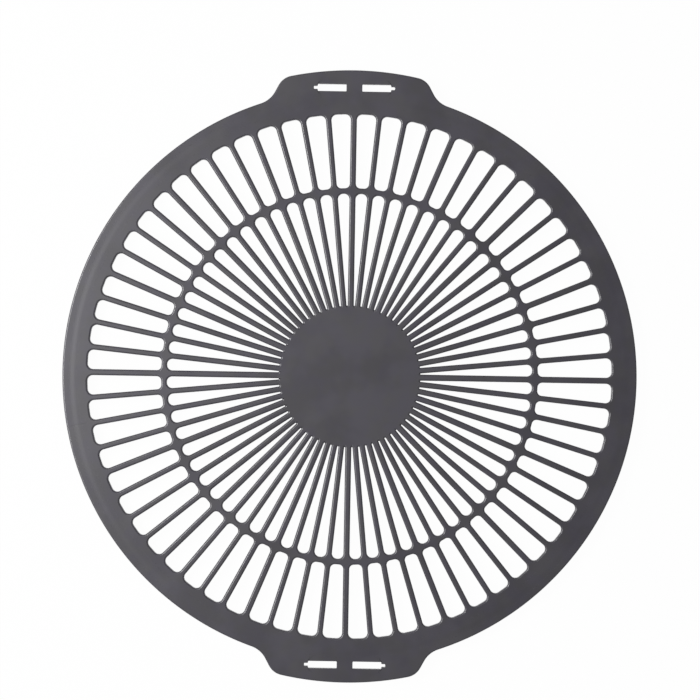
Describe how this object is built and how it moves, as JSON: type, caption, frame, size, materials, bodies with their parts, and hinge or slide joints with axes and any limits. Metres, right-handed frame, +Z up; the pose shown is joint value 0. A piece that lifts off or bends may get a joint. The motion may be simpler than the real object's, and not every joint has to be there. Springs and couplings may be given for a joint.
{
  "type": "cake divider",
  "caption": "Flat round cake divider and cooling rack: radial bars from a solid hub to a rim, tied by a ring, with two holding tabs and thin marking ribs underneath.",
  "frame": {"origin": "under the centre of the disc, on the surface that the marking ribs stand on", "axes": "+Z up, towards the flat face that cakes and biscuits cool on; +Y along the two holding tabs; +X across the disc"},
  "size_m": [0.3, 0.32, 0.008],
  "materials": {
    "grey_plastic": "satin moulded polypropylene, dark grey with a slight violet tint and a very fine grain"
  },
  "bodies": {
    "root": {"divider_disc": "grey_plastic"}
  },
  "joints": []
}
